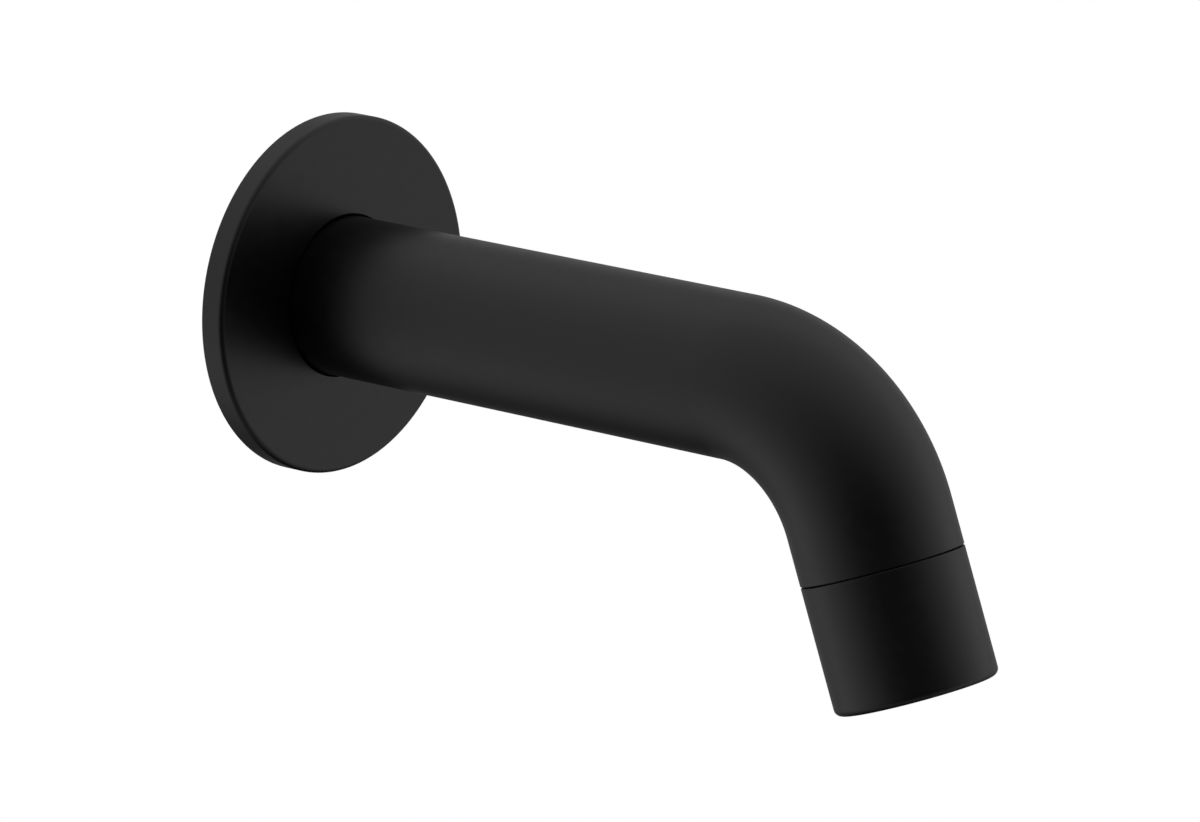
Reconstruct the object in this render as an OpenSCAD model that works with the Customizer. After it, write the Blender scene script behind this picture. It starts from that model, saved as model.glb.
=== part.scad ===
// Round wall spout. A bent tube slips over a spigot that is screwed into the wall, behind a round
// cover flange, and a screw-on collar at its outlet holds a stream-straightening insert.
// The origin is on the tube's axis at the face of the wall. The wall fills +Y, the spout points
// along -Y, and its outlet is bent down towards -Z. The part is symmetric about the YZ plane.

/* [Tube] */
// Outer diameter of the tube, its bend and the outlet collar
tube_d = 32; // [30:0.5:40]
// Thickness of the tube's wall
tube_wall = 1.5; // [1:0.1:1.8]
// Gap between the wall and the tube's back end
tube_back_gap = 0.8; // [0.4:0.1:1.2]
// Distance from the wall to the start of the bend
straight_l = 106; // [70:1:220]
// Radius of the bend, on the tube's centre line
bend_r = 33.5; // [26:0.5:60]
// Angle that the tube is bent through
bend_angle = 70; // [45:1:85]
// Straight length from the end of the bend to the split line above the collar
tail_l = 9.3; // [8:0.1:25]

/* [Wall flange] */
// Diameter of the cover flange
flange_d = 72; // [60:1:90]
// Thickness of the flange
flange_t = 5.3; // [5:0.1:8]
// Rounding of the flange's front edge
flange_edge_r = 1; // [0.4:0.1:1.8]
// Gap all round between the tube and the hole in the flange
flange_gap = 0.4; // [0.2:0.05:0.6]
// Thickness of the flange's front plate
flange_plate_t = 2; // [1.5:0.1:2.4]
// Width of the rim that rests on the wall
flange_rim_w = 3; // [2:0.25:5]
// Radial thickness of the hub around the hole in the flange
flange_hub_w = 3.4; // [3.2:0.1:5]
// Gap between the flange's hub and the wall
flange_hub_gap = 0.5; // [0.2:0.1:0.8]
// Thickness of the O-ring that holds the flange on the tube
flange_o_ring_d = 2; // [1.6:0.1:2.2]
// Distance from the wall to the middle of the flange's O-ring
flange_o_ring_z = 2.4; // [2.1:0.1:2.8]

/* [Inlet] */
// Major diameter of the half-inch parallel pipe thread that goes into the wall
thread_d = 20.955; // [20.955:0.001:26.441]
// Length of the pipe thread
thread_l = 13; // [10:0.5:20]
// Distance from the face of the wall back to the pipe thread, most of it an undercut
thread_undercut_l = 1.5; // [1:0.25:3]
// Diameter of the spigot that the spout slips over
spigot_d = 19; // [18:0.25:19.5]
// Length of the spigot in front of the wall
spigot_l = 32; // [30:1:40]
// Diameter of the waterway through the spigot
spigot_bore_d = 9.5; // [8:0.25:9.75]
// Width across the flats of the key socket in the spigot
spigot_key_w = 10; // [10:0.5:11]
// Depth of the key socket
spigot_key_depth = 8; // [5:0.5:12]
// Gap all round between the spigot and its bush
spigot_gap = 0.1; // [0.05:0.01:0.2]
// Thickness of the two O-rings on the spigot
spigot_o_ring_d = 1.8; // [1.5:0.1:2]
// Distance from the wall to the middle of the spigot's rear O-ring
rear_o_ring_z = 20.5; // [20:0.5:22]
// Distance from the wall to the middle of the spigot's front O-ring
front_o_ring_z = 26.5; // [26:0.5:28]
// Distance that the bush reaches past the spigot's front end
bush_overrun = 3; // [1:0.5:8]

/* [Grub screw] */
// Diameter of the grub screw under the spout
grub_d = 5; // [4:0.5:6]
// Distance from the wall to the grub screw
grub_z = 14; // [12:0.5:15]
// Width across the flats of the grub screw's key socket
grub_key_w = 2.5; // [2:0.1:2.6]
// Depth of the grub screw's key socket
grub_key_depth = 2.5; // [1.5:0.1:3]
// Gap all round between the grub screw and the hole in the tube
grub_access_gap = 0.3; // [0.2:0.1:0.8]
// Width of the groove in the spigot that the grub screw locks in
lock_groove_w = 6.5; // [6.3:0.1:7]
// Depth of that groove
lock_groove_depth = 1.2; // [0.6:0.1:1.6]

/* [Outlet collar] */
// Length of the outlet collar
collar_l = 25.2; // [22:0.1:40]
// Width of the split line between the tube and the collar
split_gap = 0.3; // [0.1:0.05:0.6]
// Rounding of the collar's bottom edge
collar_edge_r = 1.5; // [0.5:0.1:2.5]
// Thickness of the collar's wall over its thread
collar_wall = 1.95; // [1.9:0.05:2.4]
// Width of the ledge in the collar that carries the insert
collar_ledge_w = 1.45; // [1.2:0.05:1.8]
// Bevel on the inner edge of the collar's mouth
mouth_bevel = 0.6; // [0.2:0.1:1]
// Depth of the insert inside the collar's mouth
mouth_recess = 1.5; // [0.8:0.1:4]
// Length of the outlet bush inside the tube
outlet_grip_l = 7; // [5:0.25:7.5]
// Thickness of the outlet bush's threaded neck
neck_wall = 2.5; // [2.2:0.1:3]
// Thickness of the O-ring between the neck and the collar
collar_o_ring_d = 1.5; // [1.2:0.1:1.6]
// Distance from the split line to the middle of that O-ring
collar_o_ring_z = 2; // [1.5:0.1:3]

/* [Outlet insert] */
// Thickness of the flat washer on top of the insert
washer_t = 1.5; // [1:0.1:2.5]
// Width of the flat washer
washer_w = 2.6; // [2.4:0.1:2.8]
// Thickness of the insert housing's top rim
housing_rim_t = 1.5; // [1:0.1:2.5]
// Thickness of the insert housing's wall
housing_wall = 1.2; // [1:0.1:1.4]
// Gap all round for the air drawn in between the housing and the collar
air_gap = 0.6; // [0.3:0.1:0.8]
// Number of air slots in the housing
air_slots = 12; // [6:1:16]
// Width of an air slot
air_slot_w = 1.6; // [1:0.1:2.5]
// Thickness of the lip at the bottom of the housing
housing_lip_t = 0.8; // [0.6:0.1:1.5]
// Width of that lip
housing_lip_w = 0.8; // [0.5:0.1:1.2]
// Thickness of the honeycomb grid
grid_t = 2.2; // [1.5:0.1:4]
// Distance between neighbouring honeycomb cells
cell_pitch = 2.2; // [1.8:0.1:3]
// Thickness of the walls between the cells
cell_wall = 0.4; // [0.3:0.05:0.6]
// Thickness of a wire screen
screen_t = 0.4; // [0.3:0.1:0.6]
// Distance between neighbouring openings in a wire screen
screen_pitch = 1.9; // [1.6:0.1:2.5]
// Width of an opening in a wire screen
screen_opening = 1.3; // [0.8:0.1:1.4]
// Thickness of the spacer between the wire screens
spacer_t = 1; // [0.6:0.1:2]
// Thickness of the jet plate
jet_plate_t = 1.5; // [1:0.1:2.5]
// Height of the jet plate's skirt
jet_skirt_h = 2; // [1.5:0.1:3]
// Diameter of a jet
jet_d = 1.2; // [0.8:0.1:1.4]
// Number of jets in the outer ring of jets
outer_jets = 18; // [12:1:20]
// Number of jets in the inner ring of jets
inner_jets = 10; // [6:1:12]
// Thickness of the flow regulator
regulator_t = 2.6; // [2.4:0.1:4]
// Thickness of the flow regulator's O-ring
regulator_o_ring_d = 1.5; // [1.2:0.1:1.6]
// Number of lobes on the flow regulator's core
regulator_lobes = 8; // [5:1:10]
// Thickness of the domed inlet strainer
strainer_t = 0.6; // [0.4:0.1:0.8]
// Height of the strainer's dome
strainer_h = 3.2; // [2:0.1:4]
// Diameter of a hole in the strainer
strainer_hole_d = 0.9; // [0.6:0.1:1.1]

/* [Hidden] */
$fn = 96;

// Colours
black = [0.07, 0.07, 0.075];
rubber = [0.16, 0.16, 0.17];
brass = [0.78, 0.62, 0.33];
steel = [0.7, 0.71, 0.73];
pale_plastic = [0.82, 0.84, 0.86];
grey_plastic = [0.45, 0.47, 0.5];

// Clearances and allowances
past = 1;               // how far a cut runs past the face that it starts from
ring_gap = 0.05;        // round an O-ring, in its groove and against its mate
groove_room = 0.6;      // spare width of an O-ring's groove
braze_gap = 0.05;       // round a bush brazed into the tube
thread_gap = 0.05;      // between a simplified thread and its mate
drop_in_gap = 0.1;      // round a piece dropped into another
washer_gap = 0.4;       // between the flat washer and the collar's thread
bush_inset = 0.5;       // from the tube's back end to the inlet bush
bush_lead_in = 1;       // bevel that eases the O-rings into the inlet bush
spigot_bevel = 1;       // on the spigot's front end
thread_bevel = 1;       // on the pipe thread's back end
undercut_depth = 0.2;   // of the undercut below the spigot's surface
spigot_root_l = 0.5;    // of the spigot's plain surface behind the face of the wall
grub_sink = 0.3;        // of the grub screw below the bush's surface
grub_bevel = 0.7;       // on the grub screw's point
stack_room = 0.3;       // above the flow regulator
slot_lead = 0.3;        // how far an air slot's cut starts inside the wall that it goes through
sweep_spare = 5;        // degrees that the bend is swept too far, and trimmed off

// Tube
tube_r = tube_d / 2;
tube_bore_r = tube_r - tube_wall;

// Flange
flange_r = flange_d / 2;
flange_hole_r = tube_r + flange_gap;
flange_hub_r = flange_hole_r + flange_hub_w;
flange_recess_depth = flange_t - flange_plate_t;
flange_o_ring_mid_r = tube_r + ring_gap + flange_o_ring_d / 2;

// Inlet
spigot_r = spigot_d / 2;
bush_bore_r = spigot_r + spigot_gap;
bush_r = tube_bore_r - braze_gap;
bush_back_z = tube_back_gap + bush_inset;
bush_front_z = spigot_l + bush_overrun;
spigot_o_ring_mid_r = bush_bore_r - ring_gap - spigot_o_ring_d / 2;
lock_groove_r = spigot_r - lock_groove_depth;
grub_r = grub_d / 2;
grub_tip_r = lock_groove_r + ring_gap;
grub_top_r = bush_r - grub_sink;

// Outlet, measured down from the end of the bend
collar_top_z = tail_l + split_gap;
collar_end_z = collar_top_z + collar_l;
neck_r = tube_r - collar_wall - thread_gap;
neck_bore_r = neck_r - neck_wall;
collar_thread_r = neck_r + thread_gap;
chamber_r = collar_thread_r - collar_ledge_w;
collar_o_ring_mid_r = collar_thread_r - ring_gap - collar_o_ring_d / 2;

// Insert, stacked up from the lip at the bottom of its housing
jet_plate_h = jet_plate_t + jet_skirt_h;
stack_h = grid_t + 2 * screen_t + spacer_t + jet_plate_h + regulator_t;
housing_l = housing_lip_t + stack_h + stack_room + strainer_t;
housing_end_z = collar_end_z - mouth_recess;
housing_top_z = housing_end_z - housing_l;
neck_end_z = housing_top_z - washer_t;
washer_r = neck_r - washer_gap;
housing_r = chamber_r - air_gap;
housing_bore_r = housing_r - housing_wall;
insert_r = housing_bore_r - drop_in_gap;
lip_z = housing_end_z - housing_lip_t;
grid_z = lip_z - grid_t;
lower_screen_z = grid_z - screen_t;
spacer_z = lower_screen_z - spacer_t;
upper_screen_z = spacer_z - screen_t;
jet_plate_z = upper_screen_z - jet_plate_h;
regulator_z = jet_plate_z - regulator_t;
insert_ring_w = 0.8;    // width of the solid ring round each piece of the stack

// A point measured from the wall: local Z points out of the wall along the tube
module from_wall(z = 0) {
    rotate([90, 0, 0]) translate([0, 0, z]) children();
}

// The bend is drawn about its own bisector, so that both straight runs meet it square
module at_bisector() {
    translate([0, -straight_l, -bend_r]) rotate([bend_angle / 2, 0, 0]) children();
}

module at_bend_start() {
    rotate([-bend_angle / 2, 0, 0]) translate([0, 0, bend_r]) rotate([90, 0, 0]) children();
}

module at_bend_end() {
    rotate([bend_angle / 2, 0, 0]) translate([0, 0, bend_r]) rotate([90, 0, 0]) children();
}

// A point measured down from the end of the bend: local Z points out of the outlet
module from_bend(z = 0) {
    at_bisector() at_bend_end() translate([0, 0, z]) children();
}

module swept_bend(r) {
    rotate([-bend_angle / 2, 0, 0]) rotate([0, 90, 0]) rotate([0, 0, 180])
        rotate_extrude(angle = bend_angle + sweep_spare) translate([bend_r, 0]) circle(r = r);
}

// A solid rod of radius r along the tube's centre line, from back_z behind the bend to tail past it
module bent_rod(r, back_z, tail) {
    at_bisector() {
        at_bend_start() translate([0, 0, back_z - straight_l]) cylinder(h = straight_l - back_z, r = r);
        difference() {
            swept_bend(r);
            at_bend_end() translate([-2 * r, -2 * r, 0]) cube([4 * r, 4 * r, 4 * r]);
        }
        at_bend_end() cylinder(h = tail, r = r);
    }
}

// A straight sleeve between two heights
module sleeve(outer_r, inner_r, low, high) {
    translate([0, 0, low]) difference() {
        cylinder(h = high - low, r = outer_r);
        translate([0, 0, -past]) cylinder(h = high - low + 2 * past, r = inner_r);
    }
}

// A groove cut into the outside of something no bigger than outer_r
module outside_groove(outer_r, floor_r, width) {
    sleeve(outer_r + past, floor_r, -width / 2, width / 2);
}

module o_ring(mid_r, thickness) {
    rotate_extrude() translate([mid_r, 0]) circle(r = thickness / 2);
}

// The outline, from the axis out, of a disc whose upper outer edge is rounded
module round_edged_outline(r, t, edge_r) {
    square([r, t - edge_r]);
    square([r - edge_r, t]);
    translate([r - edge_r, t - edge_r]) circle(r = edge_r);
}

// Cells of a hexagonal pattern whose centres lie within limit_r of the middle
function hex_cells(pitch, limit_r) =
    let (rows = ceil(limit_r / pitch * 2))
    [for (row = [-rows:rows], column = [-rows:rows])
        let (x = (column + (row % 2 == 0 ? 0 : 0.5)) * pitch, y = row * pitch * sin(60))
        if (norm([x, y]) < limit_r) [x, y]];

// Cells of a square pattern whose centres lie within limit_r of the middle
function square_cells(pitch, limit_r) =
    let (rows = ceil(limit_r / pitch))
    [for (row = [-rows:rows], column = [-rows:rows])
        if (norm([row, column]) * pitch < limit_r) [column * pitch, row * pitch]];

// The cover flange: a dished plate with a rim on the wall and a hub round the tube
module wall_flange() {
    color(black) from_wall() difference() {
        rotate_extrude() round_edged_outline(flange_r, flange_t, flange_edge_r);
        translate([0, 0, -past]) cylinder(h = flange_t + 2 * past, r = flange_hole_r);
        sleeve(flange_r - flange_rim_w, flange_hub_r, -past, flange_recess_depth);
        translate([0, 0, -past]) cylinder(h = flange_hub_gap + past, r = flange_hub_r + past);
        translate([0, 0, flange_o_ring_z]) flange_groove();
    }
}

module flange_groove() {
    groove_w = flange_o_ring_d + groove_room;
    translate([0, 0, -groove_w / 2])
        cylinder(h = groove_w, r = flange_o_ring_mid_r + flange_o_ring_d / 2 + ring_gap);
}

// The foam gasket that fills the flange's recess and lies on the wall
module flange_gasket() {
    color(rubber) from_wall() sleeve(
        flange_r - flange_rim_w - drop_in_gap, flange_hub_r + drop_in_gap, 0, flange_recess_depth);
}

module flange_o_ring() {
    color(rubber) from_wall(flange_o_ring_z) o_ring(flange_o_ring_mid_r, flange_o_ring_d);
}

// The visible tube, bent from one length, with the access hole for the grub screw under it
module spout_body() {
    color(black) difference() {
        bent_rod(tube_r, tube_back_gap, tail_l);
        bent_rod(tube_bore_r, tube_back_gap - past, tail_l + past);
        grub_hole(grub_r + grub_access_gap, bush_bore_r, tube_r + past);
    }
}

// A round hole that points down from the tube's axis at the grub screw
module grub_hole(r, from_r, to_r) {
    from_wall(grub_z) rotate([90, 0, 0]) translate([0, 0, from_r]) cylinder(h = to_r - from_r, r = r);
}

// The bush brazed into the tube's back end
module inlet_bush() {
    color(brass) difference() {
        from_wall() difference() {
            sleeve(bush_r, bush_bore_r, bush_back_z, bush_front_z);
            translate([0, 0, bush_back_z])
                cylinder(h = bush_lead_in, r1 = bush_bore_r + bush_lead_in, r2 = bush_bore_r);
        }
        grub_hole(grub_r + thread_gap, bush_bore_r - past, bush_r + past);
    }
}

// The spigot: pipe thread, undercut, locking groove, two O-ring grooves, key socket and waterway
module inlet_spigot() {
    thread_back_z = -thread_undercut_l - thread_l;
    color(brass) from_wall() difference() {
        union() {
            translate([0, 0, -spigot_root_l]) cylinder(h = spigot_l + spigot_root_l, r = spigot_r);
            translate([0, 0, -thread_undercut_l])
                cylinder(h = thread_undercut_l, r = spigot_r - undercut_depth);
            translate([0, 0, thread_back_z]) cylinder(h = thread_l, r = thread_d / 2);
        }
        translate([0, 0, thread_back_z]) end_bevel(thread_d / 2, thread_bevel);
        translate([0, 0, spigot_l]) mirror([0, 0, 1]) end_bevel(spigot_r, spigot_bevel);
        translate([0, 0, grub_z]) outside_groove(spigot_r, lock_groove_r, lock_groove_w);
        for (z = [rear_o_ring_z, front_o_ring_z]) translate([0, 0, z]) spigot_groove();
        translate([0, 0, thread_back_z - past])
            cylinder(h = spigot_l - thread_back_z + 2 * past, r = spigot_bore_d / 2);
        translate([0, 0, spigot_l - spigot_key_depth])
            cylinder(h = spigot_key_depth + past, r = spigot_key_w / 2 / cos(30), $fn = 6);
    }
}

module spigot_groove() {
    outside_groove(
        spigot_r, spigot_o_ring_mid_r - spigot_o_ring_d / 2 - ring_gap, spigot_o_ring_d + groove_room);
}

// What a bevel takes off the lower outer edge of a rod of radius r
module end_bevel(r, bevel) {
    difference() {
        translate([0, 0, -past]) cylinder(h = bevel + past, r = r + past);
        cylinder(h = bevel, r1 = r - bevel, r2 = r);
        translate([0, 0, -2 * past]) cylinder(h = 2 * past, r = r - bevel);
    }
}

module rear_o_ring() {
    color(rubber) from_wall(rear_o_ring_z) o_ring(spigot_o_ring_mid_r, spigot_o_ring_d);
}

module front_o_ring() {
    color(rubber) from_wall(front_o_ring_z) o_ring(spigot_o_ring_mid_r, spigot_o_ring_d);
}

// The grub screw, from the spigot's groove to just inside the bush's surface
module grub_screw() {
    color(steel) difference() {
        grub_hole(grub_r, grub_tip_r, grub_top_r);
        from_wall(grub_z) rotate([90, 0, 0]) translate([0, 0, grub_tip_r]) end_bevel(grub_r, grub_bevel);
        from_wall(grub_z) rotate([90, 0, 0]) translate([0, 0, grub_top_r - grub_key_depth])
            cylinder(h = grub_key_depth + past, r = grub_key_w / 2 / cos(30), $fn = 6);
    }
}

// The bush brazed into the tube's outlet, with the threaded neck that carries the collar
module outlet_bush() {
    color(brass) from_bend() difference() {
        union() {
            translate([0, 0, tail_l - outlet_grip_l]) cylinder(h = outlet_grip_l, r = bush_r);
            translate([0, 0, tail_l]) cylinder(h = neck_end_z - tail_l, r = neck_r);
        }
        translate([0, 0, tail_l - outlet_grip_l - past])
            cylinder(h = neck_end_z - tail_l + outlet_grip_l + 2 * past, r = neck_bore_r);
        translate([0, 0, tail_l + collar_o_ring_z]) outside_groove(
            neck_r, collar_o_ring_mid_r - collar_o_ring_d / 2 - ring_gap, collar_o_ring_d + groove_room);
    }
}

module collar_o_ring() {
    color(rubber) from_bend(tail_l + collar_o_ring_z) o_ring(collar_o_ring_mid_r, collar_o_ring_d);
}

// The collar: threaded on the neck, with a ledge for the insert and a rounded bottom edge
module outlet_collar() {
    ledge_z = housing_top_z + housing_rim_t;
    color(black) from_bend() difference() {
        translate([0, 0, collar_top_z])
            rotate_extrude() round_edged_outline(tube_r, collar_l, collar_edge_r);
        translate([0, 0, collar_top_z - past])
            cylinder(h = ledge_z - collar_top_z + past, r = collar_thread_r);
        translate([0, 0, ledge_z - past]) cylinder(h = collar_end_z - ledge_z + 2 * past, r = chamber_r);
        translate([0, 0, collar_end_z - mouth_bevel])
            cylinder(h = mouth_bevel, r1 = chamber_r, r2 = chamber_r + mouth_bevel);
    }
}

// The flat washer between the neck and the insert
module insert_washer() {
    color(rubber) from_bend() sleeve(washer_r, washer_r - washer_w, neck_end_z, housing_top_z);
}

// The insert's housing: a rim on the collar's ledge, a slotted wall and a lip that holds the stack
module insert_housing() {
    strainer_seat_r = washer_r - washer_w + insert_ring_w;
    color(pale_plastic) from_bend() difference() {
        union() {
            translate([0, 0, housing_top_z]) cylinder(h = housing_rim_t, r = washer_r);
            translate([0, 0, housing_top_z]) cylinder(h = housing_l, r = housing_r);
        }
        translate([0, 0, housing_top_z - past]) cylinder(h = lip_z - housing_top_z + past, r = housing_bore_r);
        translate([0, 0, housing_top_z - past]) cylinder(h = strainer_t + past, r = strainer_seat_r);
        translate([0, 0, lip_z - past])
            cylinder(h = housing_lip_t + 2 * past, r = housing_bore_r - housing_lip_w);
        translate([0, 0, jet_plate_z + jet_plate_t])
            slot_ring(housing_bore_r - slot_lead, housing_r + past, jet_skirt_h);
    }
}

// A ring of radial air slots between two radii, rising from the local origin
module slot_ring(inner_r, outer_r, height) {
    for (i = [0:air_slots - 1]) rotate([0, 0, i * 360 / air_slots])
        translate([inner_r, -air_slot_w / 2, 0]) cube([outer_r - inner_r, air_slot_w, height]);
}

// The domed strainer held between the washer and the housing
module inlet_strainer() {
    rim_r = washer_r - washer_w + insert_ring_w - drop_in_gap;
    dome_r = washer_r - washer_w - drop_in_gap;
    ball_r = (dome_r * dome_r + strainer_h * strainer_h) / (2 * strainer_h);
    hole_rings = floor((dome_r - strainer_hole_d) / (2.5 * strainer_hole_d));
    color(steel) from_bend(housing_top_z) difference() {
        union() {
            cylinder(h = strainer_t, r = rim_r);
            intersection() {
                translate([0, 0, ball_r - strainer_h]) sphere(r = ball_r);
                translate([0, 0, -strainer_h - past]) cylinder(h = strainer_h + past, r = rim_r);
            }
        }
        translate([0, 0, ball_r - strainer_h]) sphere(r = ball_r - strainer_t);
        for (ring = [1:hole_rings], i = [0:6 * ring - 1]) rotate([0, 0, i * 60 / ring])
            translate([ring * 2.5 * strainer_hole_d, 0, -strainer_h - past])
                cylinder(h = strainer_h + past, r = strainer_hole_d / 2, $fn = 24);
    }
}

// The flow regulator: an annular channel round a lobed core, with drain holes in the channel's floor
module flow_regulator() {
    channel_outer_r = insert_r - insert_ring_w;
    channel_floor_t = 0.8;
    core_r = channel_outer_r - 2 * ring_gap - regulator_o_ring_d - 0.5;
    color(grey_plastic) from_bend(regulator_z) difference() {
        cylinder(h = regulator_t, r = insert_r);
        difference() {
            translate([0, 0, -past]) cylinder(h = regulator_t - channel_floor_t + past, r = channel_outer_r);
            lobed_core(core_r, regulator_t);
        }
        for (i = [0:regulator_lobes - 1]) rotate([0, 0, (i + 0.5) * 360 / regulator_lobes])
            translate([core_r - jet_d / 2, 0, 0]) cylinder(h = regulator_t + past, r = jet_d / 2);
    }
}

// A core whose edge is scalloped between its lobes
module lobed_core(r, height) {
    difference() {
        cylinder(h = height, r = r);
        for (i = [0:regulator_lobes - 1]) rotate([0, 0, (i + 0.5) * 360 / regulator_lobes])
            translate([r, 0, -past]) cylinder(h = height + 2 * past, r = r * sin(90 / regulator_lobes));
    }
}

module regulator_o_ring() {
    mid_r = insert_r - insert_ring_w - ring_gap - regulator_o_ring_d / 2;
    color(rubber) from_bend(regulator_z + regulator_o_ring_d / 2) o_ring(mid_r, regulator_o_ring_d);
}

// The jet plate: two rings of jets, on a skirt whose slots line up with the housing's
module jet_plate() {
    skirt_bore_r = insert_r - insert_ring_w;
    outer_ring_r = skirt_bore_r - jet_d;
    color(grey_plastic) from_bend(jet_plate_z) difference() {
        cylinder(h = jet_plate_h, r = insert_r);
        translate([0, 0, jet_plate_t]) cylinder(h = jet_skirt_h + past, r = skirt_bore_r);
        translate([0, 0, jet_plate_t])
            slot_ring(skirt_bore_r - slot_lead, insert_r + past, jet_skirt_h + past);
        jet_ring(outer_ring_r, outer_jets);
        jet_ring(outer_ring_r - 2 * jet_d, inner_jets);
    }
}

module jet_ring(ring_r, count) {
    for (i = [0:count - 1]) rotate([0, 0, i * 360 / count])
        translate([ring_r, 0, -past]) cylinder(h = jet_plate_t + 2 * past, r = jet_d / 2);
}

// A wire screen in a solid edge
module wire_screen() {
    linear_extrude(screen_t) difference() {
        circle(r = insert_r);
        for (cell = square_cells(screen_pitch, insert_r - insert_ring_w - screen_opening / 2))
            translate(cell) square(screen_opening, center = true);
    }
}

module upper_screen() {
    color(steel) from_bend(upper_screen_z) wire_screen();
}

module screen_spacer() {
    color(grey_plastic) from_bend() sleeve(insert_r, insert_r - insert_ring_w, spacer_z, lower_screen_z);
}

module lower_screen() {
    color(steel) from_bend(lower_screen_z) wire_screen();
}

// The honeycomb that straightens the stream, as seen in the mouth. Its solid edge cuts the outermost cells
module honeycomb_grid() {
    edge_r = insert_r - insert_ring_w;
    cell_r = (cell_pitch - cell_wall) / 2 / cos(30);
    color(pale_plastic) from_bend(grid_z) linear_extrude(grid_t) difference() {
        circle(r = insert_r);
        intersection() {
            circle(r = edge_r);
            for (cell = hex_cells(cell_pitch, edge_r - cell_r / 3))
                translate(cell) rotate(30) circle(r = cell_r, $fn = 6);
        }
    }
}

wall_flange();
flange_gasket();
flange_o_ring();
spout_body();
inlet_bush();
inlet_spigot();
rear_o_ring();
front_o_ring();
grub_screw();
outlet_bush();
collar_o_ring();
outlet_collar();
insert_washer();
insert_housing();
inlet_strainer();
flow_regulator();
regulator_o_ring();
jet_plate();
upper_screen();
screen_spacer();
lower_screen();
honeycomb_grid();
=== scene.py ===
# Looks of the wall spout: fine meshes and finishes round the fixed frame, soft light and the camera
import math

import bmesh
import bpy
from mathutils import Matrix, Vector, noise


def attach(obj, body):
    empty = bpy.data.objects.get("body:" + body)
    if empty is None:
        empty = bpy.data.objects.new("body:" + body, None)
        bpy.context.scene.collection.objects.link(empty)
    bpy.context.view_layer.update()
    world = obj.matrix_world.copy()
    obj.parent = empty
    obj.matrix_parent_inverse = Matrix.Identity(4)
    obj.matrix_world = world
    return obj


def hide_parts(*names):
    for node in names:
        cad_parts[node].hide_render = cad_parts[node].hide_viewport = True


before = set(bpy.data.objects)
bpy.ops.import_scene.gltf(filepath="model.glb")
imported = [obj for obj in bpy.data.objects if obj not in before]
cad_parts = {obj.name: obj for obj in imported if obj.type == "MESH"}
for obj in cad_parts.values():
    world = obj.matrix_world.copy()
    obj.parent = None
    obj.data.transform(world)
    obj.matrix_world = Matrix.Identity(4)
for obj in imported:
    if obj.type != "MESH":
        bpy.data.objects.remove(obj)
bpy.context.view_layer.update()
MM = 0.001

# Sizes of the tube and its bend, in millimetres
TUBE_R = 16.0
BORE_R = 14.5
TUBE_BACK_Z = 0.8
STRAIGHT_L = 106.0
BEND_R = 33.5
BEND_ANGLE = math.radians(70)
TAIL_L = 9.3
BEND_L = BEND_R * BEND_ANGLE

# The access hole under the tube and the screw in it
HOLE_R = 2.8
HOLE_Z = 14.0
HOLE_BEVEL = 0.15
GRUB_R = 2.5
GRUB_TIP_R = 8.35
GRUB_TOP_R = 14.15
GRUB_BEVEL = 0.7
GRUB_TOP_BEVEL = 0.3
GRUB_KEY_W = 2.5
GRUB_KEY_DEPTH = 2.5
GRUB_KEY_CONE = 0.6      # of the drill's point, up from the socket's floor
GRUB_PITCH = 0.8
GRUB_THREAD_DEPTH = 0.4

# The cover flange and the gasket in its recess
FLANGE_R = 36.0
FLANGE_T = 5.3
FLANGE_EDGE_R = 1.0
FLANGE_HOLE_R = 16.4
FLANGE_HUB_R = 19.8
FLANGE_HUB_Z = 0.5
FLANGE_RECESS = 3.3
FLANGE_RIM_W = 3.0
FLANGE_GROOVE_R = 18.1
FLANGE_GROOVE_Z = 2.4
FLANGE_GROOVE_W = 2.6
FLANGE_RING_W = 2.0
FLANGE_RING_BULGE = 1.15     # how much wider than its space the ring is before it is squeezed
RING_STEPS = 32
GASKET_GAP = 0.1

# The spigot, with its pipe thread behind the face of the wall
SPIGOT_R = 9.5
SPIGOT_L = 32.0
SPIGOT_ROOT = 0.5
SPIGOT_BORE_R = 4.75
SPIGOT_KEY_W = 10.0
SPIGOT_KEY_DEPTH = 8.0
SPIGOT_BEVEL = 1.0
UNDERCUT_R = 9.3
THREAD_R = 10.4775
THREAD_FRONT_Z = -1.5
THREAD_BACK_Z = -14.5
THREAD_PITCH = 1.814
THREAD_DEPTH = 1.162
THREAD_BEVEL = 1.0
LOCK_GROOVE_R = 8.3
LOCK_GROOVE_W = 6.5
RING_GROOVE_R = 7.7
RING_GROOVE_W = 2.4
RING_GROOVES_Z = (20.5, 26.5)

# The outlet collar, measured down from the end of the bend
COLLAR_TOP_Z = 9.6
COLLAR_END_Z = 34.8
COLLAR_EDGE_R = 1.5
COLLAR_THREAD_R = 14.05
COLLAR_LEDGE_Z = 23.0
CHAMBER_R = 12.6
MOUTH_BEVEL = 0.6
SPLIT_SHADE_REACH = 1.5      # how far the painted shade reaches to both sides of the split line

# Fineness of the meshes
SIDES = 144
BEND_STEPS = 72
ARC_STEPS = 6
EDGE_R = 0.12        # of an edge that is only broken
HOLD = 0.06          # from a rounded edge to the loop that keeps the face beside it flat
HOLE_SIDES = 4       # steps from the middle of the access hole to its edge
HOLE_BLEND = 2.5     # where the mesh round the hole is regular again, in hole radii
SHARP = math.radians(32)
SAME = 1e-6          # two lengths nearer than this share are the same length

# The camera, at the angle of the photograph
CAMERA_AIM = Vector((-0.23, -71.61, -12.49)) * MM
CAMERA_AZIMUTH = math.radians(-50.10)
CAMERA_ELEVATION = math.radians(14.86)
CAMERA_DISTANCE = 1374.7 * MM
CAMERA_LENS = 213.13

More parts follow.
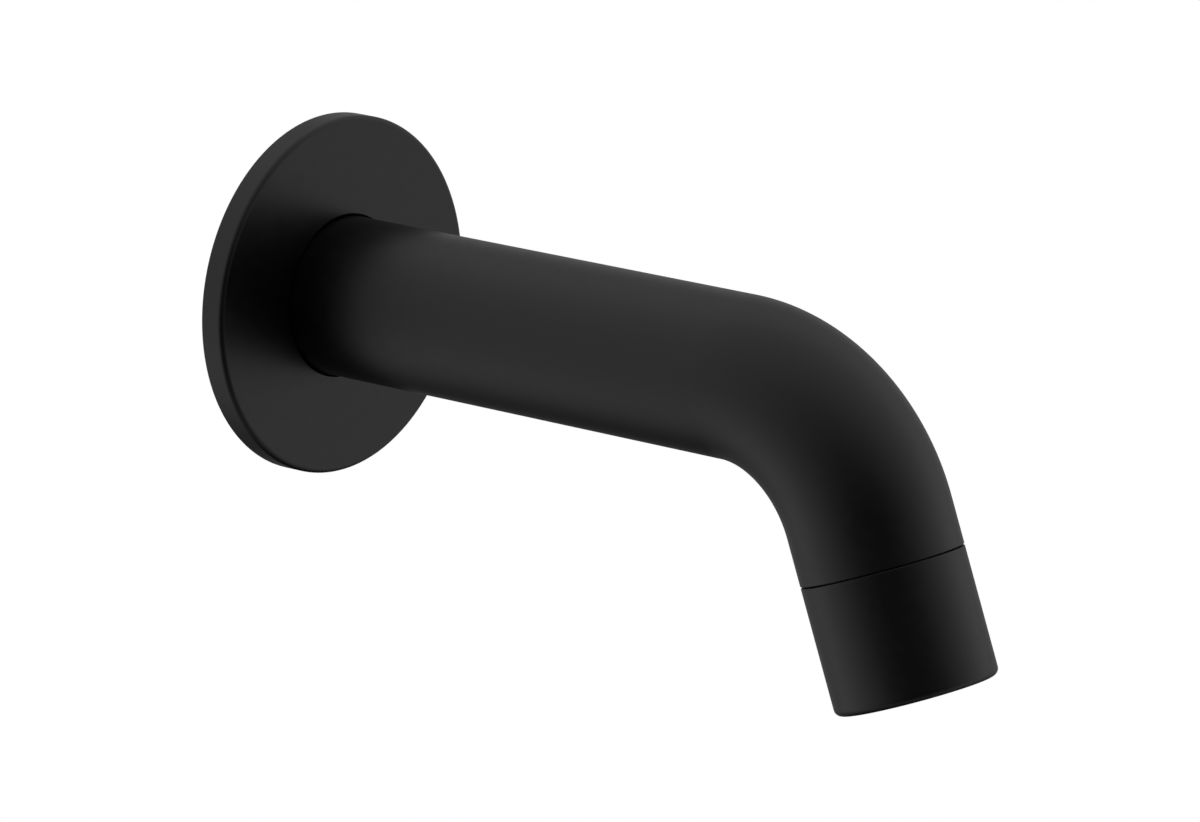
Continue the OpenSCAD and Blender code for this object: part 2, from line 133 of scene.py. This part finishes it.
# The studio: white all round, with dark flags that show in reflections, and a soft box overhead.
# Each flag has the azimuth and elevation of its middle, its radius and the softness of its edge,
# all in degrees, and its grey.
FLAGS = (
    (-43, -7, 57, 38, 0.084),    # in front, round the camera
    (131, -10, 56, 20, 0.363),   # behind, to the right
    (119, -66, 42, 34, 0),       # below, to the right
)
WORLD_GREY = (0.8, 0.8, 0.8)
BOX_AZIMUTH = math.radians(-20)
BOX_ELEVATION = math.radians(70)
BOX_DISTANCE = 2.0
BOX_SPREAD = math.radians(30)
BOX_RADIANCE = 1.0


def along_axis(across, turn, along):
    """A point beside the tube's axis, at a distance out of the wall."""
    return Vector((across * math.sin(turn), -along, across * math.cos(turn))) * MM


def along_tube(across, turn, along):
    """A point beside the tube's centre line, at a distance along that line from the wall."""
    angle = min(max((along - STRAIGHT_L) / BEND_R, 0), BEND_ANGLE)
    ahead = Vector((0, -math.cos(angle), -math.sin(angle)))
    outward = Vector((0, -math.sin(angle), math.cos(angle)))
    past_arc = max(along - STRAIGHT_L - BEND_L, 0)
    before_arc = min(along, STRAIGHT_L)
    centre = Vector((0, -before_arc, -BEND_R if angle > 0 else 0))
    if angle > 0:
        centre += outward * BEND_R
    centre += ahead * past_arc
    side = Vector((1, 0, 0))
    return (centre + side * across * math.sin(turn) + outward * across * math.cos(turn)) * MM


def down_outlet(across, turn, along):
    """A point beside the outlet's axis, at a distance down from the end of the bend."""
    return along_tube(across, turn, STRAIGHT_L + BEND_L + along)


def under_tube(across, turn, along):
    """A point beside the grub screw's axis, at a distance down from the tube's axis."""
    return Vector((-across * math.sin(turn), across * math.cos(turn) - HOLE_Z, -along)) * MM


def rounded(corners, steps=ARC_STEPS):
    """A closed outline through corners of (across, along, radius), each rounded to its radius."""
    outline = []
    for i, (across, along, radius) in enumerate(corners):
        here = Vector((across, along))
        if radius == 0:
            outline.append(here)
            continue
        to_before = (Vector(corners[i - 1][:2]) - here).normalized()
        to_after = (Vector(corners[(i + 1) % len(corners)][:2]) - here).normalized()
        half = to_before.angle(to_after) / 2
        sweep = math.pi - 2 * half
        reach = radius / math.tan(half)
        centre = here + (to_before + to_after).normalized() * radius / math.sin(half)
        first = here + to_before * reach - centre
        last = here + to_after * reach - centre
        outline.append(here + to_before * (reach + HOLD))
        for k in range(steps + 1):
            share = k / steps
            blend = first * math.sin((1 - share) * sweep) + last * math.sin(share * sweep)
            outline.append(centre + blend / math.sin(sweep))
        outline.append(here + to_after * (reach + HOLD))
    return [tuple(point) for point in outline]


def ring_mesh(outline, route, sides=SIDES, radius_at=None):
    """A mesh of the closed outline turned round a route, and its rings of vertices."""
    mesh = bmesh.new()
    rings = []
    for across, along in outline:
        ring = []
        for i in range(sides):
            turn = 2 * math.pi * i / sides
            reach = radius_at(across, turn, along) if radius_at else across
            ring.append(mesh.verts.new(route(reach, turn, along)))
        rings.append(ring)
    for near, far in zip(rings, rings[1:] + rings[:1]):
        for i in range(sides):
            j = (i + 1) % sides
            mesh.faces.new((near[i], near[j], far[j], far[i]))
    return mesh, rings


def as_object(name, mesh):
    """The mesh as a smooth object that has sharp edges where its faces meet at an angle."""
    bmesh.ops.remove_doubles(mesh, verts=mesh.verts, dist=MM / 10000)
    bmesh.ops.recalc_face_normals(mesh, faces=mesh.faces)
    data = bpy.data.meshes.new(name)
    mesh.to_mesh(data)
    mesh.free()
    data.shade_smooth()
    data.set_sharp_from_angle(angle=SHARP)
    made = bpy.data.objects.new(name, data)
    bpy.context.scene.collection.objects.link(made)
    return made


def dress(piece, node, material):
    """Puts the piece in the place of a CAD node, with its finish."""
    piece.data.materials.clear()
    piece.data.materials.append(material)
    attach(piece, "root")
    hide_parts(node)


def hexagon(width, turn):
    """Distance from the middle of a hexagon to its side, in the direction of a turn."""
    sixth = math.pi / 3
    return width / 2 / math.cos((turn + sixth / 2) % sixth - sixth / 2)


def thread(crest_r, depth, pitch, turn, along):
    """Radius of a right-hand thread with rounded crests and roots."""
    phase = (along / pitch + turn / (2 * math.pi)) % 1
    rise = abs(2 * phase - 1)
    return crest_r - depth * (1 - rise * rise * (3 - 2 * rise))


def stations(start, end, step):
    """Evenly spaced distances from start to end, no further apart than step."""
    count = max(math.ceil((end - start) / step), 1)
    return [start + (end - start) * i / count for i in range(count + 1)]


def bent_tube():
    """The tube with its bend, broken edges and the access hole underneath."""
    patch = HOLE_R * HOLE_BLEND
    straight_step = 12
    end = STRAIGHT_L + BEND_L + TAIL_L
    runs = [TUBE_BACK_Z]
    runs += stations(TUBE_BACK_Z + 1, HOLE_Z - patch, 4)
    runs += stations(HOLE_Z - patch, HOLE_Z - HOLE_R, HOLE_R / HOLE_SIDES)[1:]
    runs += stations(HOLE_Z - HOLE_R, HOLE_Z + HOLE_R, HOLE_R / HOLE_SIDES)[1:]
    runs += stations(HOLE_Z + HOLE_R, HOLE_Z + patch, HOLE_R / HOLE_SIDES)[1:]
    runs += stations(HOLE_Z + patch, STRAIGHT_L, straight_step)[1:]
    runs += stations(STRAIGHT_L, STRAIGHT_L + BEND_L, BEND_L / BEND_STEPS)[1:]
    runs += [end]
    last = len(runs) - 1
    outside = [(TUBE_R, z, EDGE_R if i in (0, last) else 0) for i, z in enumerate(runs)]
    inside = [(BORE_R, z, EDGE_R if i in (0, last) else 0) for i, z in enumerate(runs)]
    outline = rounded(outside + inside[::-1])
    mesh, rings = ring_mesh(outline, along_tube)
    open_hole(mesh, rings, outline)
    return as_object("bent_tube", mesh)


def open_hole(mesh, rings, outline):
    """Opens the round access hole through both walls, and joins its two edges by a bevelled wall."""
    middle = SIDES // 2
    edges = {}
    for wall_r, edge_r in ((TUBE_R, HOLE_R + HOLE_BEVEL), (BORE_R, HOLE_R)):
        grid_edge = wall_r * math.sin(2 * math.pi * HOLE_SIDES / SIDES)
        square = {}
        for ring, (across, along) in zip(rings, outline):
            if abs(across - wall_r) > 1e-6:
                continue
            b = (along - HOLE_Z) / HOLE_R
            for i in range(middle - SIDES // 4, middle + SIDES // 4 + 1):
                x = wall_r * math.sin(2 * math.pi * i / SIDES)
                a = x / grid_edge
                size = max(abs(a), abs(b))
                if size > HOLE_BLEND:
                    continue
                if size < 1 - 1e-6:
                    mesh.verts.remove(ring[i])
                    continue
                share = (HOLE_BLEND - size) / (HOLE_BLEND - 1)
                pull = share * share * (3 - 2 * share)
                scale = 1 + pull * (size / math.hypot(a, b) - 1)
                x = a * scale * (grid_edge + pull * (edge_r - grid_edge))
                y = b * scale * (HOLE_R + pull * (edge_r - HOLE_R))
                ring[i].co = Vector((x, -HOLE_Z - y, -math.sqrt(wall_r ** 2 - x ** 2))) * MM
                if size < 1 + 1e-6:
                    square[math.atan2(b, a)] = ring[i]
        edges[wall_r] = [square[angle] for angle in sorted(square)]
    outer, inner = edges[TUBE_R], edges[BORE_R]
    step = []
    for vertex in outer:
        x, y, z = vertex.co
        shrink = HOLE_R / (HOLE_R + HOLE_BEVEL)
        y_middle = -HOLE_Z * MM
        step.append(mesh.verts.new((x * shrink, y_middle + (y - y_middle) * shrink, z + HOLE_BEVEL * MM)))
    for near, far in ((outer, step), (step, inner)):
        for i in range(len(near)):
            j = (i + 1) % len(near)
            mesh.faces.new((near[i], near[j], far[j], far[i]))


def cover_flange():
    """The cover flange: rounded front edge, recess behind, hub round the tube with its ring groove."""
    groove = (FLANGE_GROOVE_Z - FLANGE_GROOVE_W / 2, FLANGE_GROOVE_Z + FLANGE_GROOVE_W / 2)
    recess_r = FLANGE_R - FLANGE_RIM_W
    corners = [
        (FLANGE_R, 0, EDGE_R),
        (FLANGE_R, FLANGE_T, FLANGE_EDGE_R),
        (FLANGE_HOLE_R, FLANGE_T, EDGE_R),
        (FLANGE_HOLE_R, groove[1], EDGE_R),
        (FLANGE_GROOVE_R, groove[1], EDGE_R),
        (FLANGE_GROOVE_R, groove[0], EDGE_R),
        (FLANGE_HOLE_R, groove[0], EDGE_R),
        (FLANGE_HOLE_R, FLANGE_HUB_Z, EDGE_R),
        (FLANGE_HUB_R, FLANGE_HUB_Z, EDGE_R),
        (FLANGE_HUB_R, FLANGE_RECESS, EDGE_R),
        (recess_r, FLANGE_RECESS, EDGE_R),
        (recess_r, 0, EDGE_R),
    ]
    mesh, _ = ring_mesh(rounded(corners, steps=10), along_axis, sides=2 * SIDES)
    return as_object("cover_flange", mesh)


def foam_gasket():
    """The foam ring in the flange's recess, a little uneven as cut foam is."""
    outer_r = FLANGE_R - FLANGE_RIM_W - GASKET_GAP
    inner_r = FLANGE_HUB_R + GASKET_GAP
    steps = 20
    face = [outer_r + (inner_r - outer_r) * i / steps for i in range(1, steps)]
    corner_r = 0.35
    corners = [(outer_r, 0, corner_r), (outer_r, FLANGE_RECESS, corner_r)]
    corners += [(across, FLANGE_RECESS, 0) for across in face[1:-1]]
    corners += [(inner_r, FLANGE_RECESS, corner_r), (inner_r, 0, corner_r)]
    corners += [(across, 0, 0) for across in face[-2:0:-1]]
    mesh, _ = ring_mesh(rounded(corners), along_axis)
    unevenness = 0.12
    grain = 900
    bmesh.ops.recalc_face_normals(mesh, faces=mesh.faces)
    mesh.normal_update()
    for vertex in mesh.verts:
        dip = 0.5 + 0.5 * noise.noise(vertex.co * grain)
        vertex.co -= vertex.normal * dip * unevenness * MM
    return as_object("foam_gasket", mesh)


def squeezed_ring():
    """The flange's O-ring, pressed flat between the tube and the floor of its groove."""
    radius = FLANGE_RING_W / 2
    outline = []
    for i in range(RING_STEPS):
        angle = 2 * math.pi * i / RING_STEPS
        across = (TUBE_R + FLANGE_GROOVE_R) / 2 + FLANGE_RING_BULGE * radius * math.cos(angle)
        across = min(max(across, TUBE_R), FLANGE_GROOVE_R)
        outline.append((across, FLANGE_GROOVE_Z + radius * math.sin(angle)))
    mesh, _ = ring_mesh(outline, along_axis)
    return as_object("squeezed_ring", mesh)


def threaded_spigot():
    """The spigot with its helical pipe thread, locking groove, ring grooves and key socket."""
    key_z = SPIGOT_L - SPIGOT_KEY_DEPTH
    thread_step = THREAD_PITCH / 16
    corners = [(THREAD_R - THREAD_BEVEL, THREAD_BACK_Z, 0)]
    corners += [(THREAD_R, z, 0) for z in stations(THREAD_BACK_Z, THREAD_FRONT_Z, thread_step)]
    corners += [(UNDERCUT_R, THREAD_FRONT_Z, 0), (UNDERCUT_R, -SPIGOT_ROOT, 0), (SPIGOT_R, -SPIGOT_ROOT, 0)]
    grooves = [(HOLE_Z, LOCK_GROOVE_W, LOCK_GROOVE_R)]
    grooves += [(z, RING_GROOVE_W, RING_GROOVE_R) for z in RING_GROOVES_Z]
    for z, width, floor_r in grooves:
        low, high = z - width / 2, z + width / 2
        corners += [(SPIGOT_R, low, EDGE_R), (floor_r, low, EDGE_R)]
        corners += [(floor_r, high, EDGE_R), (SPIGOT_R, high, EDGE_R)]
    corners += [(SPIGOT_R, SPIGOT_L - SPIGOT_BEVEL, EDGE_R), (SPIGOT_R - SPIGOT_BEVEL, SPIGOT_L, EDGE_R)]
    socket_r = SPIGOT_KEY_W / 2
    corners += [(socket_r, SPIGOT_L, 0), (socket_r, key_z, 0), (SPIGOT_BORE_R, key_z, 0)]
    corners += [(SPIGOT_BORE_R, THREAD_BACK_Z, EDGE_R)]

    def radius_at(across, turn, along):
        if math.isclose(across, THREAD_R, rel_tol=SAME):
            bevel = THREAD_R - THREAD_BEVEL + along - THREAD_BACK_Z
            return min(thread(THREAD_R, THREAD_DEPTH, THREAD_PITCH, turn, along), bevel)
        if math.isclose(across, socket_r, rel_tol=SAME):
            return hexagon(SPIGOT_KEY_W, turn)
        return across

    mesh, _ = ring_mesh(rounded(corners), along_axis, radius_at=radius_at)
    return as_object("threaded_spigot", mesh)


def locking_screw():
    """The grub screw: cone point, thread and key socket."""
    socket_z = GRUB_TOP_R - GRUB_KEY_DEPTH
    socket_r = GRUB_KEY_W / 2
    step = GRUB_PITCH / 10
    corners = [(0, GRUB_TIP_R, 0), (GRUB_R - GRUB_BEVEL, GRUB_TIP_R, 0)]
    corners += [(GRUB_R, z, 0) for z in stations(GRUB_TIP_R + step, GRUB_TOP_R, step)]
    corners += [(socket_r, GRUB_TOP_R, 0), (socket_r, socket_z, 0), (0, socket_z - GRUB_KEY_CONE, 0)]

    def radius_at(across, turn, along):
        if math.isclose(across, GRUB_R, rel_tol=SAME):
            bevel = GRUB_R - GRUB_BEVEL + along - GRUB_TIP_R
            top_bevel = GRUB_R - GRUB_TOP_BEVEL + GRUB_TOP_R - along
            return min(thread(GRUB_R, GRUB_THREAD_DEPTH, GRUB_PITCH, turn, along), bevel, top_bevel)
        if math.isclose(across, socket_r, rel_tol=SAME):
            return hexagon(GRUB_KEY_W, turn)
        return across

    mesh, _ = ring_mesh(corners_only(corners), under_tube, sides=72, radius_at=radius_at)
    return as_object("locking_screw", mesh)


def corners_only(corners):
    return [(across, along) for across, along, _ in corners]


def screw_collar():
    """The collar: rounded bottom edge, bevelled mouth, ledge for the insert and a plain bore at the thread's radius.
    """
    corners = [
        (TUBE_R, COLLAR_TOP_Z, EDGE_R),
        (TUBE_R, COLLAR_END_Z, COLLAR_EDGE_R),
        (CHAMBER_R + MOUTH_BEVEL, COLLAR_END_Z, EDGE_R),
        (CHAMBER_R, COLLAR_END_Z - MOUTH_BEVEL, EDGE_R),
        (CHAMBER_R, COLLAR_LEDGE_Z, EDGE_R),
        (COLLAR_THREAD_R, COLLAR_LEDGE_Z, EDGE_R),
        (COLLAR_THREAD_R, COLLAR_TOP_Z, EDGE_R),
    ]
    mesh, _ = ring_mesh(rounded(corners, steps=10), down_outlet, sides=2 * SIDES)
    return as_object("screw_collar", mesh)


def principled(name, colour, metallic, roughness):
    """A new material with a plain shader, its nodes, its links and that shader."""
    material = bpy.data.materials.new(name)
    material.use_nodes = True
    nodes, links = material.node_tree.nodes, material.node_tree.links
    shader = nodes["Principled BSDF"]
    shader.inputs["Base Color"].default_value = (*colour, 1)
    shader.inputs["Metallic"].default_value = metallic
    shader.inputs["Roughness"].default_value = roughness
    return material, nodes, links, shader


def grain(nodes, links, scale, detail):
    """Noise fixed to the object, with that many features to a metre."""
    place = nodes.new("ShaderNodeTexCoord")
    texture = nodes.new("ShaderNodeTexNoise")
    texture.inputs["Scale"].default_value = scale
    texture.inputs["Detail"].default_value = detail
    links.new(place.outputs["Object"], texture.inputs["Vector"])
    return texture.outputs["Fac"]


def spread(nodes, links, value, low, high):
    """The noise value stretched to run from low to high."""
    stretch = nodes.new("ShaderNodeMapRange")
    stretch.inputs["From Min"].default_value = 0.3
    stretch.inputs["From Max"].default_value = 0.7
    stretch.inputs["To Min"].default_value = low
    stretch.inputs["To Max"].default_value = high
    links.new(value, stretch.inputs["Value"])
    return stretch.outputs["Result"]


def blend_colours(nodes, links, value, dark, light):
    """Two colours mixed by a noise value."""
    ramp = nodes.new("ShaderNodeValToRGB")
    ramp.color_ramp.elements[0].position = 0.3
    ramp.color_ramp.elements[0].color = (*dark, 1)
    ramp.color_ramp.elements[1].position = 0.7
    ramp.color_ramp.elements[1].color = (*light, 1)
    links.new(value, ramp.inputs["Fac"])
    return ramp.outputs["Color"]


def add_bump(nodes, links, shader, value, strength, depth_mm):
    bump = nodes.new("ShaderNodeBump")
    bump.inputs["Strength"].default_value = strength
    bump.inputs["Distance"].default_value = depth_mm * MM
    links.new(value, bump.inputs["Height"])
    links.new(bump.outputs["Normal"], shader.inputs["Normal"])


def satin_black():
    """Satin black finish with a very fine, soft grain."""
    material, nodes, links, shader = principled("satin_black", (0.0015, 0.0015, 0.0015), 0, 0.35)
    shader.inputs["Specular IOR Level"].default_value = 0.3
    coarse = grain(nodes, links, 400, 2)
    fine = grain(nodes, links, 5000, 3)
    links.new(blend_colours(nodes, links, coarse, (0.0002,) * 3, (0.0006,) * 3), shader.inputs["Base Color"])
    links.new(spread(nodes, links, coarse, 0.33, 0.37), shader.inputs["Roughness"])
    add_bump(nodes, links, shader, fine, 0.1, 0.005)
    return material


def turned_brass(name):
    material, nodes, links, shader = principled(name, (0.71, 0.5, 0.22), 1, 0.3)
    patches = grain(nodes, links, 150, 3)
    links.new(blend_colours(nodes, links, patches, (0.6, 0.4, 0.16), (0.76, 0.55, 0.26)), shader.inputs["Base Color"])
    links.new(spread(nodes, links, grain(nodes, links, 2500, 4), 0.24, 0.38), shader.inputs["Roughness"])
    add_bump(nodes, links, shader, grain(nodes, links, 6000, 2), 0.08, 0.01)
    return material


def brass_with_painted_split_shade():
    """Brass with a near-black band round the split line: painted shade for the dark gap between tube and collar."""
    material = turned_brass("split_shaded_brass")
    nodes, links = material.node_tree.nodes, material.node_tree.links
    shader = nodes["Principled BSDF"]
    ahead = Vector((0, -math.cos(BEND_ANGLE), -math.sin(BEND_ANGLE)))
    split = down_outlet(0, 0, (TAIL_L + COLLAR_TOP_Z) / 2)
    place = nodes.new("ShaderNodeTexCoord")
    from_split = nodes.new("ShaderNodeVectorMath")
    from_split.operation = "SUBTRACT"
    from_split.inputs[1].default_value = split
    links.new(place.outputs["Object"], from_split.inputs[0])
    distance = nodes.new("ShaderNodeVectorMath")
    distance.operation = "DOT_PRODUCT"
    distance.inputs[1].default_value = ahead
    links.new(from_split.outputs["Vector"], distance.inputs[0])
    near = nodes.new("ShaderNodeMath")
    near.operation = "COMPARE"
    near.inputs[1].default_value = 0
    near.inputs[2].default_value = SPLIT_SHADE_REACH * MM
    links.new(distance.outputs["Value"], near.inputs[0])
    # painted shade: a near-black shader mixed over the brass in a band round the split line
    painted_shade = nodes.new("ShaderNodeBsdfPrincipled")
    painted_shade.inputs["Base Color"].default_value = (0.0015, 0.0015, 0.0015, 1)
    painted_shade.inputs["Roughness"].default_value = 0.5
    painted_shade.inputs["Specular IOR Level"].default_value = 0.33
    mix = nodes.new("ShaderNodeMixShader")
    links.new(near.outputs["Value"], mix.inputs["Fac"])
    links.new(shader.outputs["BSDF"], mix.inputs[1])
    links.new(painted_shade.outputs["BSDF"], mix.inputs[2])
    links.new(mix.outputs["Shader"], nodes["Material Output"].inputs["Surface"])
    return material


def black_rubber():
    material, nodes, links, shader = principled("moulded_rubber", (0.012, 0.012, 0.013), 0, 0.55)
    links.new(spread(nodes, links, grain(nodes, links, 1500, 3), 0.48, 0.62), shader.inputs["Roughness"])
    add_bump(nodes, links, shader, grain(nodes, links, 8000, 2), 0.25, 0.01)
    return material


def black_foam():
    """Closed-cell foam: small pits between raised cell walls, with painted shade darkening the pits."""
    material, nodes, links, shader = principled("closed_cell_foam", (0.018, 0.018, 0.019), 0, 0.85)
    place = nodes.new("ShaderNodeTexCoord")
    cells = nodes.new("ShaderNodeTexVoronoi")
    cells.inputs["Scale"].default_value = 2200
    links.new(place.outputs["Object"], cells.inputs["Vector"])
    pits = cells.outputs["Distance"]
    # painted shade: the colour is darker in the pits than on the cell walls
    links.new(blend_colours(nodes, links, pits, (0.01,) * 3, (0.03,) * 3), shader.inputs["Base Color"])
    add_bump(nodes, links, shader, pits, 0.6, 0.12)
    return material


def stainless_steel():
    material, nodes, links, shader = principled("stainless_steel", (0.56, 0.56, 0.55), 1, 0.3)
    links.new(spread(nodes, links, grain(nodes, links, 3000, 3), 0.24, 0.36), shader.inputs["Roughness"])
    add_bump(nodes, links, shader, grain(nodes, links, 7000, 2), 0.2, 0.008)
    return material


def moulded_plastic(name, dark, light):
    material, nodes, links, shader = principled(name, light, 0, 0.4)
    shader.inputs["Subsurface Weight"].default_value = 0.15
    shader.inputs["Subsurface Radius"].default_value = (MM, MM, MM)
    links.new(blend_colours(nodes, links, grain(nodes, links, 250, 3), dark, light), shader.inputs["Base Color"])
    links.new(spread(nodes, links, grain(nodes, links, 2000, 3), 0.34, 0.46), shader.inputs["Roughness"])
    add_bump(nodes, links, shader, grain(nodes, links, 6000, 2), 0.15, 0.008)
    return material


black = satin_black()
brass = turned_brass("turned_brass")
# brass with painted shade in the split line's gap
split_shaded_brass = brass_with_painted_split_shade()
rubber = black_rubber()
foam = black_foam()
steel = stainless_steel()
pale = moulded_plastic("pale_moulded_plastic", (0.6, 0.63, 0.65), (0.7, 0.72, 0.74))
grey = moulded_plastic("grey_moulded_plastic", (0.13, 0.14, 0.15), (0.18, 0.19, 0.2))

dress(cover_flange(), "wall_flange", black)
dress(bent_tube(), "spout_body", black)
dress(screw_collar(), "outlet_collar", black)
dress(foam_gasket(), "flange_gasket", foam)
dress(squeezed_ring(), "flange_o_ring", rubber)
dress(threaded_spigot(), "inlet_spigot", brass)
dress(locking_screw(), "grub_screw", steel)

# The CAD nodes that stay, by their finish
KEPT = {
    brass: ("inlet_bush",),
    # the outlet bush's brass carries painted shade round the split line
    split_shaded_brass: ("outlet_bush",),
    rubber: ("rear_o_ring", "front_o_ring", "collar_o_ring", "insert_washer", "regulator_o_ring"),
    steel: ("inlet_strainer", "upper_screen", "lower_screen"),
    grey: ("flow_regulator", "jet_plate", "screen_spacer"),
    pale: ("insert_housing", "honeycomb_grid"),
}
for finish, nodes in KEPT.items():
    for node in nodes:
        for material_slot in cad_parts[node].material_slots:
            material_slot.material = finish


def white_to_sight(nodes, links, plain_shader, white_shader):
    """Shows white to the camera, in reflections and through glass, and the plain shader otherwise."""
    path = nodes.new("ShaderNodeLightPath")
    either = nodes.new("ShaderNodeMath")
    either.operation = "MAXIMUM"
    links.new(path.outputs["Is Camera Ray"], either.inputs[0])
    links.new(path.outputs["Is Glossy Ray"], either.inputs[1])
    any_of = nodes.new("ShaderNodeMath")
    any_of.operation = "MAXIMUM"
    links.new(either.outputs["Value"], any_of.inputs[0])
    links.new(path.outputs["Is Transmission Ray"], any_of.inputs[1])
    mix = nodes.new("ShaderNodeMixShader")
    links.new(any_of.outputs["Value"], mix.inputs["Fac"])
    links.new(plain_shader, mix.inputs[1])
    links.new(white_shader, mix.inputs[2])
    return mix.outputs["Shader"]


def towards(azimuth, elevation):
    """The direction to a place round the spout; azimuth 0 is in front of the wall."""
    return Vector((
        math.sin(azimuth) * math.cos(elevation),
        -math.cos(azimuth) * math.cos(elevation),
        math.sin(elevation)))


def covered_by(nodes, links, azimuth, elevation, spread, softness):
    """1 in the directions that a round flag covers, falling to 0 over its soft edge."""
    place = nodes.new("ShaderNodeTexCoord")
    nearness = nodes.new("ShaderNodeVectorMath")
    nearness.operation = "DOT_PRODUCT"
    nearness.inputs[1].default_value = towards(math.radians(azimuth), math.radians(elevation))
    links.new(place.outputs["Generated"], nearness.inputs[0])
    angle = nodes.new("ShaderNodeMath")
    angle.operation = "ARCCOSINE"
    links.new(nearness.outputs["Value"], angle.inputs[0])
    edge = nodes.new("ShaderNodeMapRange")
    edge.interpolation_type = "SMOOTHSTEP"
    edge.inputs["From Min"].default_value = math.radians(spread + softness)
    edge.inputs["From Max"].default_value = math.radians(spread - softness)
    links.new(angle.outputs["Value"], edge.inputs["Value"])
    return edge.outputs["Result"]


def make_world():
    """White to the camera, in gloss and through glass, with the studio's dark flags in gloss alone."""
    world = bpy.data.worlds.new("studio")
    bpy.context.scene.world = world
    world.cycles.sampling_method = "NONE"    # a light sample wouldn't count as a glossy ray
    world.use_nodes = True
    nodes, links = world.node_tree.nodes, world.node_tree.links
    plain = nodes["Background"]
    plain.inputs["Color"].default_value = (*WORLD_GREY, 1)
    white = nodes.new("ShaderNodeBackground")
    white.inputs["Color"].default_value = (1, 1, 1, 1)
    shown = white_to_sight(nodes, links, plain.outputs["Background"], white.outputs["Background"])
    path = nodes.new("ShaderNodeLightPath")
    for azimuth, elevation, spread, softness, grey in FLAGS:
        flag = nodes.new("ShaderNodeBackground")
        flag.inputs["Color"].default_value = (grey, grey, grey, 1)
        in_gloss = nodes.new("ShaderNodeMath")
        in_gloss.operation = "MULTIPLY"
        links.new(path.outputs["Is Glossy Ray"], in_gloss.inputs[0])
        links.new(covered_by(nodes, links, azimuth, elevation, spread, softness), in_gloss.inputs[1])
        mix = nodes.new("ShaderNodeMixShader")
        links.new(in_gloss.outputs["Value"], mix.inputs["Fac"])
        links.new(shown, mix.inputs[1])
        links.new(flag.outputs["Background"], mix.inputs[2])
        shown = mix.outputs["Shader"]
    links.new(shown, nodes["World Output"].inputs["Surface"])


def soft_box():
    """The large round soft box overhead, which gives the pale pieces their form."""
    back = towards(BOX_AZIMUTH, BOX_ELEVATION)
    radius = BOX_DISTANCE * math.tan(BOX_SPREAD)
    lamp = bpy.data.lights.new("soft_box", "AREA")
    lamp.shape = "DISK"
    lamp.size = 2 * radius
    lamp.energy = BOX_RADIANCE * math.pi * math.pi * radius ** 2
    holder = bpy.data.objects.new("soft_box", lamp)
    holder.location = CAMERA_AIM + back * BOX_DISTANCE
    holder.rotation_mode = "QUATERNION"
    holder.rotation_quaternion = (-back).to_track_quat("-Z", "Y")
    holder.visible_camera = False
    holder.visible_glossy = False
    bpy.context.scene.collection.objects.link(holder)


def make_camera():
    back = towards(CAMERA_AZIMUTH, CAMERA_ELEVATION)
    data = bpy.data.cameras.new("camera")
    data.lens = CAMERA_LENS
    data.clip_start, data.clip_end = 0.1, 100
    holder = bpy.data.objects.new("camera", data)
    holder.location = CAMERA_AIM + back * CAMERA_DISTANCE
    holder.rotation_mode = "QUATERNION"
    holder.rotation_quaternion = (-back).to_track_quat("-Z", "Y")
    bpy.context.scene.collection.objects.link(holder)
    bpy.context.scene.camera = holder


make_camera()
make_world()
soft_box()
bpy.context.scene.view_settings.view_transform = "Standard"
